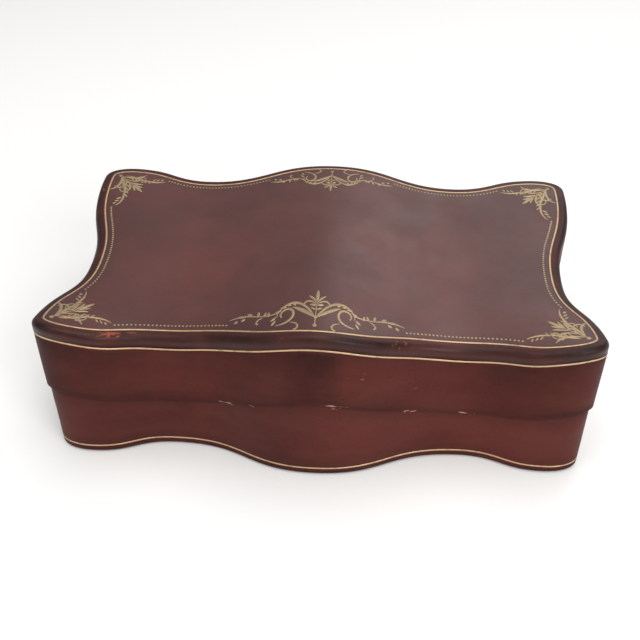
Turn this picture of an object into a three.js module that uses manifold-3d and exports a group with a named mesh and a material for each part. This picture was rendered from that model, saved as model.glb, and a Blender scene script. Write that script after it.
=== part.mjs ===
// Leather jewellery case: a serpentine clam-shell box, leather over wood, lined with velvet.
// Millimetres, +Z up, front towards -Y, origin on the underside at the middle of the plan.
// The seam and the lid's top rise and fall together, so every lid part follows wave(x, y).

import * as THREE from 'three';
import { mergeVertices } from 'three/addons/utils/BufferGeometryUtils.js';
import Module from 'manifold-3d';

const wasm = await Module();
wasm.setup();

// ---------------------------------------------------------------- driving dimensions
const HALF_LENGTH = 150;
const HALF_DEPTH = 98;
const HOLLOW = { x: 81, y: 79 };
const LOBE = { x: 128, y: 88.5 };
const FLANK_Y = 75;
const END = { x: 136.5, y: -20, pull: 0.6 };

const BASE_HEIGHT = 44;
const LID_HEIGHT = 45.4;
const CREST = { front: 10.6, back: 1.8 };
const CREST_FADE = 210;
const END_DIP = 14;
const END_DIP_REACH = 100;

const SEAM_GAP = 0.4;
const BASE_STEP = 1.6;
const GAP = 0.3;
const LEATHER = 1.2;
const WALL = 4;
const LINING = 1.4;
const BOARD = 3.5;
const EDGE_RADIUS = 5;
const TOP_SKIRT = 7;
const LID_PAD = 7;

const DIVIDER = { thickness: 3.5, top: 27, longY: 24, crossX: 48 };
const FLOOR_PAD = 5;
const ROLL = { radius: 6.2, height: 15, pitch: 12.8, halfLength: 124, count: 3 };

const HINGE = { width: 42, knuckles: 5, axisOut: 3, leaf: 1, drop: 13, clear: 2.6, web: 0.55, tipShort: 0.2 };
const KNUCKLE_RADIUS = 2.4;
const KNUCKLE_GAP = 0.4;
const PIN = { radius: 1.2, bore: 1.26, head: 1.9, headLength: 1.2, overlap: 0.5 };
const SCREW = { count: 3, pitch: 13, down: 8.6, head: 1.9, dome: 0.9, shank: 0.8, length: 5.6 };
const SCREW_POINT = { radius: 0.32, bluntLength: 0.6, taperLength: 1.6 };
const SCREW_CLEARANCE = 0.25;
const SCREW_HOLE = { deeper: 0.5, above: 2 };

const SAMPLES_PER_CURVE = 4;
const INNER_RINGS = 6;
const ROUND_SIDES = 20;
const SCREW_SIDES = 12;

// ---------------------------------------------------------------- colours
const OXBLOOD = { color: 0x4a1f1a, roughness: 0.42, metalness: 0 };
const UNDERSIDE = { color: 0x2c1512, roughness: 0.7, metalness: 0 };
const WOOD = { color: 0x9c7448, roughness: 0.7, metalness: 0 };
const VELVET = { color: 0x5a1420, roughness: 0.95, metalness: 0 };
const SATIN = { color: 0xc9a878, roughness: 0.5, metalness: 0 };
const BRASS = { color: 0xb08a48, roughness: 0.35, metalness: 1 };

const baseBody = new THREE.Group();
const lidBody = new THREE.Group();

// ---------------------------------------------------------------- plan and wave
// One quarter of the outline, from the middle of a long side to the middle of an end.
// side is -1 for the front and 1 for the back. Bezier handles lie along X at the middle, the hollow
// and the lobe, and along Y at the flank and the end.
function quarterCurves(side) {
  const centre = new THREE.Vector2(0, side * HALF_DEPTH);
  const hollow = new THREE.Vector2(HOLLOW.x, side * HOLLOW.y);
  const lobe = new THREE.Vector2(LOBE.x, side * LOBE.y);
  const flank = new THREE.Vector2(HALF_LENGTH, side * FLANK_Y);
  const end = new THREE.Vector2(END.x, END.y);
  const alongX = (from, to, share) => new THREE.Vector2(from.x + (to.x - from.x) * share, from.y);
  const alongY = (from, to, share) => new THREE.Vector2(from.x, from.y + (to.y - from.y) * share);
  return [
    [centre, alongX(centre, hollow, 0.5), alongX(hollow, centre, 0.5), hollow],
    [hollow, alongX(hollow, lobe, 0.5), alongX(lobe, hollow, 0.5), lobe],
    [lobe, alongX(lobe, flank, 0.6), alongY(flank, lobe, 0.6), flank],
    [flank, alongY(flank, end, END.pull), alongY(end, flank, 0.5), end],
  ];
}

// The whole outline, anticlockwise from the middle of the front.
function makeOutline(samplesPerCurve) {
  const front = quarterCurves(-1);
  const back = quarterCurves(1).reverse().map((points) => points.slice().reverse());
  const right = [];
  for (const points of [...front, ...back]) {
    const curve = new THREE.CubicBezierCurve(...points);
    for (let i = 0; i < samplesPerCurve; i++) right.push(curve.getPoint(i / samplesPerCurve));
  }
  right.push(new THREE.Vector2(0, HALF_DEPTH));
  const left = right.slice(1, -1).reverse().map((p) => new THREE.Vector2(-p.x, p.y));
  return [...right, ...left];
}

const outline = makeOutline(SAMPLES_PER_CURVE);

// The outline moved inwards by inset, square to itself.
function insetOutline(inset) {
  const count = outline.length;
  return outline.map((point, i) => {
    const before = outline[(i + count - 1) % count];
    const after = outline[(i + 1) % count];
    const along = after.clone().sub(before).normalize();
    return new THREE.Vector2(point.x - along.y * inset, point.y + along.x * inset);
  });
}

// How far the seam and the lid's top stand above their mean height at a place in the plan.
function wave(x, y) {
  const share = THREE.MathUtils.clamp(0.5 + y / HALF_DEPTH / 2, 0, 1);
  const height = THREE.MathUtils.lerp(CREST.front, CREST.back, share);
  const crest = height * Math.cos((Math.PI * x) / HOLLOW.x) * Math.exp(-((x / CREST_FADE) ** 2));
  const reach = THREE.MathUtils.clamp((y - END.y) / END_DIP_REACH, -1, 1);
  const dip = END_DIP * (Math.abs(x) / HALF_LENGTH) ** 4 * Math.cos((Math.PI * reach) / 2) ** 2;
  return crest - dip;
}

// How far back the wall's outer face is at x, near the middle of the back.
function backAt(x) {
  const curve = new THREE.CubicBezierCurve(...quarterCurves(1)[0]);
  const steps = 60;
  let best = curve.getPoint(0);
  for (let i = 1; i <= steps; i++) {
    const point = curve.getPoint(i / steps);
    if (Math.abs(point.x - Math.abs(x)) < Math.abs(best.x - Math.abs(x))) best = point;
  }
  return best.y;
}

// ---------------------------------------------------------------- solids
function signedVolume(position, index) {
  const a = new THREE.Vector3();
  const b = new THREE.Vector3();
  const c = new THREE.Vector3();
  let volume = 0;
  for (let i = 0; i < index.length; i += 3) {
    a.fromArray(position, index[i] * 3);
    b.fromArray(position, index[i + 1] * 3);
    c.fromArray(position, index[i + 2] * 3);
    volume += a.dot(b.cross(c));
  }
  return volume;
}

function closedGeometry(position, index) {
  if (signedVolume(position, index) < 0) index.reverse();
  const geometry = new THREE.BufferGeometry();
  geometry.setAttribute('position', new THREE.Float32BufferAttribute(position, 3));
  geometry.setIndex(index);
  return geometry;
}

// One ring of vertices: { inset, z, waved, shrink }. A shrink of 0 is the single middle point.
function ringVertices({ inset = 0, z, waved = true, shrink = 1 }) {
  const places = shrink === 0 ? [new THREE.Vector2()] : insetOutline(inset);
  return places.map(({ x, y }) => {
    const height = z + (waved ? wave(x * shrink, y * shrink) : 0);
    return [x * shrink, y * shrink, height];
  });
}

// A skin through rings in order. A looped skin is a hoop; otherwise it starts and ends at a middle point.
// Its quads are split the same way in plan whether they run inwards or outwards, so that nested skins
// stay the same distance apart.
function skin(rings, looped) {
  const position = [];
  const starts = [];
  for (const ring of rings) {
    const vertices = ringVertices(ring);
    const reach = (ring.shrink ?? 1) - (ring.inset ?? 0) / HALF_LENGTH;
    starts.push({ first: position.length / 3, size: vertices.length, reach });
    position.push(...vertices.flat());
  }
  const index = [];
  const bands = looped ? rings.length : rings.length - 1;
  for (let band = 0; band < bands; band++) {
    const low = starts[band];
    const high = starts[(band + 1) % rings.length];
    const count = Math.max(low.size, high.size);
    const outward = high.reach > low.reach;
    for (let i = 0; i < count; i++) {
      const next = (i + 1) % count;
      const a = low.first + (low.size > 1 ? i : 0);
      const b = low.first + (low.size > 1 ? next : 0);
      const c = high.first + (high.size > 1 ? next : 0);
      const d = high.first + (high.size > 1 ? i : 0);
      if (a !== b) index.push(a, b, outward ? d : c);
      if (c !== d) index.push(outward ? b : a, c, d);
    }
  }
  return closedGeometry(position, index);
}

const hoop = (rings) => skin(rings, true);

// Rings that carry a surface from its rim to the middle. A flat one needs only the middle point.
function towardsMiddle(z, waved = true) {
  if (!waved) return [{ z, waved, shrink: 0 }];
  const rings = [];
  for (let i = INNER_RINGS - 1; i >= 0; i--) {
    rings.push({ inset: EDGE_RADIUS, z, waved, shrink: i / INNER_RINGS });
  }
  return rings;
}

// A plate that fills the plan, with the given edge rings from its lower face to its upper face.
function plate(bottomZ, topZ, edge, waved = true) {
  const under = towardsMiddle(bottomZ, waved).reverse();
  return skin([...under, ...edge, ...towardsMiddle(topZ, waved)], false);
}

function toManifold(geometry) {
  const bare = new THREE.BufferGeometry();
  bare.setAttribute('position', geometry.getAttribute('position'));
  if (geometry.index) bare.setIndex(geometry.index);
  const merged = mergeVertices(bare, 1e-4);
  return new wasm.Manifold(new wasm.Mesh({
    numProp: 3,
    vertProperties: Float32Array.from(merged.getAttribute('position').array),
    triVerts: Uint32Array.from(merged.index.array),
  }));
}

function fromManifold(solid) {
  const mesh = solid.getMesh();
  return closedGeometry(Array.from(mesh.vertProperties), Array.from(mesh.triVerts));
}

function cut(geometry, cutters) {
  return fromManifold(cutters.reduce((s, c) => s.subtract(toManifold(c)), toManifold(geometry)));
}

function join(geometries) {
  return fromManifold(geometries.map(toManifold).reduce((sum, next) => sum.add(next)));
}

const common = (a, b) => fromManifold(toManifold(a).intersect(toManifold(b)));

function box(x0, x1, y0, y1, z0, z1) {
  const geometry = new THREE.BoxGeometry(x1 - x0, y1 - y0, z1 - z0);
  return geometry.translate((x0 + x1) / 2, (y0 + y1) / 2, (z0 + z1) / 2);
}

function rodAlongX(radius, x0, x1, y, z) {
  const rod = new THREE.CylinderGeometry(radius, radius, x1 - x0, ROUND_SIDES);
  return rod.rotateZ(Math.PI / 2).translate((x0 + x1) / 2, y, z);
}

function add(body, name, geometry, look) {
  const mesh = new THREE.Mesh(geometry, new THREE.MeshStandardMaterial(look));
  mesh.name = name;
  body.add(mesh);
}

// ---------------------------------------------------------------- levels, bottom to top
// The base stands BASE_STEP inside the lid all round, so each layer's inset starts from its own skin.
function layers(skinInset) {
  const wallOuter = skinInset + LEATHER + GAP;
  const wallInner = wallOuter + WALL;
  const liningOuter = wallInner + GAP;
  const liningInner = liningOuter + LINING;
  return {
    skin: skinInset, skinInner: skinInset + LEATHER,
    wallOuter, wallInner, liningOuter, liningInner, room: liningInner + GAP,
  };
}

const base = layers(BASE_STEP);
const lid = layers(0);
const underZ = LEATHER + GAP;
const floorZ = underZ + BOARD;
const roomFloorZ = floorZ + GAP;
const baseRimZ = BASE_HEIGHT - SEAM_GAP / 2;
const lidRimZ = BASE_HEIGHT + SEAM_GAP / 2;
const lidTopZ = BASE_HEIGHT + LID_HEIGHT;
const boardTopZ = lidTopZ - LEATHER - GAP;
const boardUnderZ = boardTopZ - BOARD;

// ---------------------------------------------------------------- hinge geometry
const hingeY = HALF_DEPTH + HINGE.axisOut;
const hingeZ = BASE_HEIGHT + wave(0, HALF_DEPTH);

// Where the outer leather of the base (side -1) or the lid (side 1) is at the back.
const skinBackAt = (side, x) => backAt(x) - (side < 0 ? BASE_STEP : 0);

// A solid that follows the curve of the back from depth `near` to depth `far` outside it.
function backStrip(x0, x1, near, far, z0, z1) {
  const steps = 6;
  const inner = [];
  const outer = [];
  for (let i = 0; i <= steps; i++) {
    const x = x0 + ((x1 - x0) * i) / steps;
    inner.push(new THREE.Vector2(x, near(x)));
    outer.unshift(new THREE.Vector2(x, far(x)));
  }
  const shape = new THREE.Shape([...inner, ...outer]);
  const strip = new THREE.ExtrudeGeometry(shape, { depth: z1 - z0, bevelEnabled: false });
  return strip.translate(0, 0, z0);
}

function knuckleSpan(number) {
  const pitch = HINGE.width / HINGE.knuckles;
  const start = -HINGE.width / 2 + number * pitch;
  return [start + KNUCKLE_GAP / 2, start + pitch - KNUCKLE_GAP / 2];
}

// side is -1 for the leaf below the axis and 1 for the leaf above it.
function hingeLeaf(side, numbers, screws) {
  const half = HINGE.width / 2;
  const near = (x) => skinBackAt(side, x) + GAP;
  const far = (x) => near(x) + HINGE.leaf;
  const levels = (a, b) => [a, b].map((d) => hingeZ + side * d).sort((p, q) => p - q);
  const parts = [backStrip(-half, half, near, far, ...levels(HINGE.clear, HINGE.drop))];
  for (const number of numbers) {
    const [x0, x1] = knuckleSpan(number);
    const web = levels(KNUCKLE_RADIUS * HINGE.web, HINGE.clear + HINGE.leaf);
    const tip = () => hingeY - HINGE.tipShort;
    parts.push(backStrip(x0, x1, near, tip, ...web));
    parts.push(rodAlongX(KNUCKLE_RADIUS, x0, x1, hingeY, hingeZ));
  }
  const bore = rodAlongX(PIN.bore, -half - 1, half + 1, hingeY, hingeZ);
  return cut(join(parts), [bore, ...screws.map(screwHole)]);
}

function hingePin() {
  const half = HINGE.width / 2;
  const head = half + GAP;
  return join([
    rodAlongX(PIN.radius, -head - PIN.overlap, head + PIN.overlap, hingeY, hingeZ),
    rodAlongX(PIN.head, head, head + PIN.headLength, hingeY, hingeZ),
    rodAlongX(PIN.head, -head - PIN.headLength, -head, hingeY, hingeZ),
  ]);
}

// Where each screw of one leaf sits, and the way its head faces.
function screwPlaces(side) {
  const places = [];
  for (let i = 0; i < SCREW.count; i++) {
    const x = (i - (SCREW.count - 1) / 2) * SCREW.pitch;
    const slope = (backAt(x + 2) - backAt(x - 2)) / 4;
    const facing = new THREE.Vector3(-slope, 1, 0).normalize();
    const face = new THREE.Vector3(x, skinBackAt(side, x), hingeZ + side * SCREW.down);
    places.push({ facing, face: face.addScaledVector(facing, GAP + HINGE.leaf + GAP) });
  }
  return places;
}

function turned(profile, place) {
  const lathe = new THREE.LatheGeometry(profile.map((p) => new THREE.Vector2(...p)), SCREW_SIDES);
  const turn = new THREE.Quaternion().setFromUnitVectors(new THREE.Vector3(0, 1, 0), place.facing);
  return lathe.applyQuaternion(turn).translate(...place.face.toArray());
}

function screw(place) {
  const { head, dome, shank, length } = SCREW;
  return turned([
    [0, -length], [SCREW_POINT.radius, -length + SCREW_POINT.bluntLength],
    [shank, -length + SCREW_POINT.taperLength], [shank, 0],
    [head, 0], [head * 0.85, dome * 0.6], [head * 0.45, dome * 0.95], [0, dome],
  ], place);
}

function screwHole(place) {
  const radius = SCREW.shank + SCREW_CLEARANCE;
  const low = -SCREW.length - SCREW_HOLE.deeper;
  const high = SCREW_HOLE.above;
  return turned([[0, low], [radius, low], [radius, high], [0, high]], place);
}

// ---------------------------------------------------------------- base
function baseShell(screws) {
  const holes = screws.map(screwHole);
  add(baseBody, 'base_underside_leather', plate(0, LEATHER, [
    { inset: base.wallOuter, z: 0, waved: false },
    { inset: base.wallOuter, z: LEATHER, waved: false },
  ], false), UNDERSIDE);
  add(baseBody, 'base_board', plate(underZ, floorZ, [
    { inset: base.liningOuter, z: underZ, waved: false },
    { inset: base.liningOuter, z: floorZ, waved: false },
  ], false), WOOD);
  add(baseBody, 'base_wall', cut(hoop([
    { inset: base.wallOuter, z: underZ, waved: false },
    { inset: base.wallOuter, z: baseRimZ - LEATHER - GAP },
    { inset: base.wallInner, z: baseRimZ - LEATHER - GAP },
    { inset: base.wallInner, z: underZ, waved: false },
  ]), holes), WOOD);
  add(baseBody, 'base_side_leather', cut(hoop([
    { inset: base.skin, z: 0, waved: false },
    { inset: base.skin, z: baseRimZ },
    { inset: base.wallInner, z: baseRimZ },
    { inset: base.wallInner, z: baseRimZ - LEATHER },
    { inset: base.skinInner, z: baseRimZ - LEATHER },
    { inset: base.skinInner, z: 0, waved: false },
  ]), holes), OXBLOOD);
  add(baseBody, 'base_wall_lining', hoop([
    { inset: base.liningOuter, z: roomFloorZ, waved: false },
    { inset: base.liningOuter, z: baseRimZ },
    { inset: base.liningInner, z: baseRimZ },
    { inset: base.liningInner, z: roomFloorZ, waved: false },
  ]), VELVET);
}

// The open room inside the base, as a solid that the fittings are trimmed to.
function room(topZ) {
  return plate(roomFloorZ, topZ, [
    { inset: base.room, z: roomFloorZ, waved: false },
    { inset: base.room, z: topZ, waved: false },
  ], false);
}

function baseFittings() {
  const { thickness, top, longY, crossX } = DIVIDER;
  const inside = room(top);
  const far = HALF_LENGTH;
  const longBack = longY + thickness;
  add(baseBody, 'long_divider', common(inside, box(-far, far, longY, longBack, 0, far)), VELVET);
  const crossFront = -HALF_DEPTH;
  const crossBack = longY - GAP;
  const halfThick = thickness / 2;
  for (const [name, x] of [['left_divider', -crossX], ['right_divider', crossX]]) {
    const slab = box(x - halfThick, x + halfThick, crossFront, crossBack, 0, far);
    add(baseBody, name, common(inside, slab), VELVET);
  }
  const padRoom = room(roomFloorZ + FLOOR_PAD);
  const edge = crossX + halfThick + GAP;
  for (const [name, x0, x1] of [
    ['left_floor_pad', -far, -edge],
    ['middle_floor_pad', -crossX + halfThick + GAP, crossX - halfThick - GAP],
    ['right_floor_pad', edge, far],
  ]) {
    add(baseBody, name, common(padRoom, box(x0, x1, crossFront, crossBack, 0, far)), VELVET);
  }
}

function ringRolls() {
  const { radius, height, pitch, halfLength, count } = ROLL;
  for (let i = 0; i < count; i++) {
    const y = DIVIDER.longY + DIVIDER.thickness + GAP + radius + i * pitch;
    const arch = new THREE.Shape();
    arch.moveTo(-radius, 0);
    arch.lineTo(radius, 0);
    arch.lineTo(radius, height - radius);
    arch.absarc(0, height - radius, radius, 0, Math.PI, false);
    const roll = new THREE.ExtrudeGeometry(arch, {
      depth: 2 * halfLength, bevelEnabled: false, curveSegments: 10,
    });
    roll.rotateX(Math.PI / 2).rotateZ(Math.PI / 2).translate(-halfLength, y, roomFloorZ);
    add(baseBody, `ring_roll_${i + 1}`, roll, VELVET);
  }
}

// ---------------------------------------------------------------- lid
// The quarter-round from the side of the lid up to its top, at a depth inside the leather.
function roundover(depth) {
  const radius = EDGE_RADIUS - depth;
  return [0, 30, 60, 90].map((degrees) => {
    const angle = THREE.MathUtils.degToRad(degrees);
    return {
      inset: EDGE_RADIUS - radius * Math.cos(angle),
      z: lidTopZ - EDGE_RADIUS + radius * Math.sin(angle),
    };
  });
}

function lidShell(screws) {
  const holes = screws.map(screwHole);
  const skirtZ = lidTopZ - TOP_SKIRT;
  add(lidBody, 'lid_top_leather', skin([
    ...towardsMiddle(lidTopZ - LEATHER).reverse(),
    ...roundover(LEATHER).reverse(),
    { inset: lid.skinInner, z: skirtZ },
    { inset: lid.skin, z: skirtZ },
    ...roundover(0),
    ...towardsMiddle(lidTopZ),
  ], false), OXBLOOD);
  add(lidBody, 'lid_board', plate(boardUnderZ, boardTopZ, [
    { inset: lid.room, z: boardUnderZ },
    { inset: lid.wallOuter, z: boardUnderZ },
    ...roundover(lid.wallOuter).slice(1),
  ]), WOOD);
  add(lidBody, 'lid_wall', cut(hoop([
    { inset: lid.wallOuter, z: lidRimZ + LEATHER + GAP },
    { inset: lid.wallOuter, z: boardUnderZ - GAP },
    { inset: lid.wallInner, z: boardUnderZ - GAP },
    { inset: lid.wallInner, z: lidRimZ + LEATHER + GAP },
  ]), holes), WOOD);
  add(lidBody, 'lid_side_leather', cut(hoop([
    { inset: lid.skin, z: lidRimZ },
    { inset: lid.skin, z: skirtZ - GAP },
    { inset: lid.skinInner, z: skirtZ - GAP },
    { inset: lid.skinInner, z: lidRimZ + LEATHER },
    { inset: lid.wallInner, z: lidRimZ + LEATHER },
    { inset: lid.wallInner, z: lidRimZ },
  ]), holes), OXBLOOD);
  add(lidBody, 'lid_wall_lining', hoop([
    { inset: lid.liningOuter, z: lidRimZ },
    { inset: lid.liningOuter, z: boardUnderZ - GAP },
    { inset: lid.liningInner, z: boardUnderZ - GAP },
    { inset: lid.liningInner, z: lidRimZ },
  ]), VELVET);
  const padTopZ = boardUnderZ - GAP;
  add(lidBody, 'lid_pad', plate(padTopZ - LID_PAD, padTopZ, [
    { inset: lid.room, z: padTopZ - LID_PAD },
    { inset: lid.room, z: padTopZ },
  ]), SATIN);
}

// ---------------------------------------------------------------- assembly
const baseScrews = screwPlaces(-1);
const lidScrews = screwPlaces(1);
baseShell(baseScrews);
baseFittings();
ringRolls();
lidShell(lidScrews);
add(baseBody, 'hinge_base_leaf', hingeLeaf(-1, [0, 2, 4], baseScrews), BRASS);
add(baseBody, 'hinge_pin', hingePin(), BRASS);
add(lidBody, 'hinge_lid_leaf', hingeLeaf(1, [1, 3], lidScrews), BRASS);
baseScrews.forEach((place, i) => add(baseBody, `base_hinge_screw_${i + 1}`, screw(place), BRASS));
lidScrews.forEach((place, i) => add(lidBody, `lid_hinge_screw_${i + 1}`, screw(place), BRASS));

const jewelleryCase = new THREE.Group();
jewelleryCase.add(baseBody, lidBody);

export default jewelleryCase;
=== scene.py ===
# Leather jewellery case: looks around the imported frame. Metres, +Z up, front towards -Y.
import math

import bmesh
import bpy
import numpy as np
from mathutils import Matrix, Vector, noise


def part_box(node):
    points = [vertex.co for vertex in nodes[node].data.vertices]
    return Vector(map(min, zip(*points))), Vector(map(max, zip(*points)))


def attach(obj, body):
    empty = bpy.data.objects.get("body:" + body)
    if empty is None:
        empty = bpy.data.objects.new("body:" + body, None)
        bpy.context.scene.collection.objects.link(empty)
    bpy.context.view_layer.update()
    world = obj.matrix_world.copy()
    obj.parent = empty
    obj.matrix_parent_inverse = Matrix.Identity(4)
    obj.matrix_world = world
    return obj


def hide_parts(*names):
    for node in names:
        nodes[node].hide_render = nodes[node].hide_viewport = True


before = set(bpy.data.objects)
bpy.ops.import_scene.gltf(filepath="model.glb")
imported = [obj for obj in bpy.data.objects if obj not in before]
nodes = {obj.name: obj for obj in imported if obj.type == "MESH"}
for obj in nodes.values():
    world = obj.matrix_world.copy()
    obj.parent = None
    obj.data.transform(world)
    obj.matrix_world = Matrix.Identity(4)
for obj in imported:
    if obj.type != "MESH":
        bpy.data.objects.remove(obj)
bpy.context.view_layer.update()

MM = 0.001

# ---------------------------------------------------------------- plan and wave, as in the frame
SIDE_LOW, SIDE_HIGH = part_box("lid_side_leather")
HALF_LENGTH = SIDE_HIGH.x
HALF_DEPTH = SIDE_HIGH.y
HOLLOW = (0.54 * HALF_LENGTH, 0.8061 * HALF_DEPTH)
LOBE = (0.8533 * HALF_LENGTH, 0.9031 * HALF_DEPTH)
FLANK_Y = 0.7653 * HALF_DEPTH
END = (0.91 * HALF_LENGTH, -0.2041 * HALF_DEPTH)
END_PULL = 0.6

CREST_FRONT = 10.6 * MM
CREST_BACK = 1.8 * MM
CREST_FADE = 210 * MM
END_DIP = 14 * MM
END_DIP_REACH = 100 * MM

LEATHER = 1.2 * MM
SEAM_GAP = 0.4 * MM
EDGE_RADIUS = 3.4 * MM
TOP_SKIRT = 7.05 * MM
WALL_DEPTH = 5.5 * MM
BASE_STEP = HALF_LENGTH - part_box("base_side_leather")[1].x

POINTS_PER_CURVE = 200
TANGENT_REACH = 1.5 * MM


def wave(x, y):
    """How far the seam and the lid's top stand above their mean height."""
    share = np.clip(0.5 + y / HALF_DEPTH / 2, 0, 1)
    height = CREST_FRONT + (CREST_BACK - CREST_FRONT) * share
    crest = height * np.cos(math.pi * x / HOLLOW[0]) * np.exp(-((x / CREST_FADE) ** 2))
    reach = np.clip((y - END[1]) / END_DIP_REACH, -1, 1)
    dip = END_DIP * (np.abs(x) / HALF_LENGTH) ** 4 * np.cos(math.pi * reach / 2) ** 2
    return crest - dip


def bezier(p0, p1, p2, p3, count):
    t = (np.arange(count) / count)[:, None]
    p0, p1, p2, p3 = (np.array(p, float) for p in (p0, p1, p2, p3))
    return (1 - t) ** 3 * p0 + 3 * (1 - t) ** 2 * t * p1 + 3 * (1 - t) * t**2 * p2 + t**3 * p3


def quarter_curves(side):
    centre = (0, side * HALF_DEPTH)
    hollow = (HOLLOW[0], side * HOLLOW[1])
    lobe = (LOBE[0], side * LOBE[1])
    flank = (HALF_LENGTH, side * FLANK_Y)

    def along_x(a, b, share):
        return (a[0] + (b[0] - a[0]) * share, a[1])

    def along_y(a, b, share):
        return (a[0], a[1] + (b[1] - a[1]) * share)

    return [
        (centre, along_x(centre, hollow, 0.5), along_x(hollow, centre, 0.5), hollow),
        (hollow, along_x(hollow, lobe, 0.5), along_x(lobe, hollow, 0.5), lobe),
        (lobe, along_x(lobe, flank, 0.6), along_y(flank, lobe, 0.6), flank),
        (flank, along_y(flank, END, END_PULL), along_y(END, flank, 0.5), END),
    ]


def dense_outline():
    """The outline as many points, anticlockwise from the middle of the front."""
    curves = quarter_curves(-1) + [c[::-1] for c in reversed(quarter_curves(1))]
    right = np.concatenate([bezier(*c, POINTS_PER_CURVE) for c in curves])
    left = (right[1:] * [-1, 1])[::-1]
    return np.concatenate([right, [[0, HALF_DEPTH]], left])


OUTLINE = dense_outline()
STEPS = np.hypot(*(np.roll(OUTLINE, -1, 0) - OUTLINE).T)
LENGTHS = np.concatenate([[0], np.cumsum(STEPS)])
PERIMETER = LENGTHS[-1]


def along(distance):
    """Point and outward direction on the outline at a distance from the middle of the front."""
    distance = np.mod(np.asarray(distance, float), PERIMETER)
    closed = np.vstack([OUTLINE, OUTLINE[:1]])

    def at(d):
        d = np.mod(d, PERIMETER)
        return np.column_stack([np.interp(d, LENGTHS, closed[:, k]) for k in (0, 1)])

    tangent = at(distance + TANGENT_REACH) - at(distance - TANGENT_REACH)
    tangent /= np.linalg.norm(tangent, axis=1)[:, None]
    return at(distance), np.column_stack([tangent[:, 1], -tangent[:, 0]])


def inset_plan(distance, inset):
    point, outward = along(distance)
    return point - outward * np.reshape(inset, (-1, 1))


AROUND = 480
STATIONS = np.arange(AROUND) * PERIMETER / AROUND
LID_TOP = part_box("lid_top_leather")[1].z - float(wave(0.0, EDGE_RADIUS - HALF_DEPTH))
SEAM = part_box("base_side_leather")[1].z + SEAM_GAP / 2 - float(wave(0.0, BASE_STEP - HALF_DEPTH))
LID_RIM = SEAM + SEAM_GAP / 2
BASE_RIM = SEAM - SEAM_GAP / 2


# ---------------------------------------------------------------- mesh helpers
def add_mesh(name, vertices, faces, material=None, smooth=True):
    mesh = bpy.data.meshes.new(name)
    mesh.from_pydata([tuple(v) for v in vertices], [], [tuple(f) for f in faces])
    mesh.validate()
    if smooth:
        mesh.polygons.foreach_set("use_smooth", [True] * len(mesh.polygons))
    piece = bpy.data.objects.new(name, mesh)
    bpy.context.scene.collection.objects.link(piece)
    if material:
        mesh.materials.append(material)
    return piece


def ring(inset, z, shrink=1.0, waved=1.0):
    """One ring of vertices round the plan, at an inset from the outline; waved is its share of the wave."""
    if shrink == 0:
        x, y = np.zeros(1), np.zeros(1)
    else:
        x, y = (inset_plan(STATIONS, np.full(AROUND, inset)) * shrink).T
    return np.column_stack([x, y, z + wave(x, y) * waved])


def loft(rings, looped):
    """Vertices and faces of a skin through rings in order."""
    starts = np.cumsum([0] + [len(r) for r in rings])
    faces = []
    last = len(rings) if looped else len(rings) - 1
    for k in range(last):
        a, b = k, (k + 1) % len(rings)
        na, nb = len(rings[a]), len(rings[b])
        for i in range(max(na, nb)):
            j = (i + 1) % max(na, nb)
            if na == 1:
                faces.append((starts[a], starts[b] + j, starts[b] + i))
            elif nb == 1:
                faces.append((starts[a] + i, starts[a] + j, starts[b]))
            else:
                faces.append((starts[a] + i, starts[a] + j, starts[b] + j, starts[b] + i))
    return np.concatenate(rings), faces


def face_out(piece):
    """Turns a closed mesh's faces outwards."""
    mesh = piece.data
    mesh.calc_loop_triangles()
    volume = 0.0
    for tri in mesh.loop_triangles:
        a, b, c = (mesh.vertices[i].co for i in tri.vertices)
        volume += a.dot(b.cross(c))
    if volume < 0:
        mesh.flip_normals()
    return piece


def mend(mesh, merge=0.0):
    """Joins points closer than merge, and turns every island's faces outwards."""
    clean = bmesh.new()
    clean.from_mesh(mesh)
    if merge:
        bmesh.ops.remove_doubles(clean, verts=clean.verts, dist=merge)
    bmesh.ops.recalc_face_normals(clean, faces=clean.faces)
    clean.to_mesh(mesh)
    clean.free()


def set_attribute(piece, name, values):
    attribute = piece.data.attributes.new(name, "FLOAT", "POINT")
    attribute.data.foreach_set("value", np.asarray(values, np.float32))


def vertex_array(piece):
    flat = np.zeros(len(piece.data.vertices) * 3)
    piece.data.vertices.foreach_get("co", flat)
    return flat.reshape(-1, 3)


def move_points(piece, points):
    piece.data.vertices.foreach_set("co", points.ravel())


def roughen(points, scale, amount, seed):
    """A smooth random offset for each point."""
    shift = Vector((seed * 7.3, seed * 3.1, seed * 5.7))
    return np.array([amount * noise.noise(Vector(p) / scale + shift) for p in points])


def place(piece, body, slot, *replaced):
    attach(piece, body)
    if replaced:
        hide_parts(*replaced)
    return piece


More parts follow.
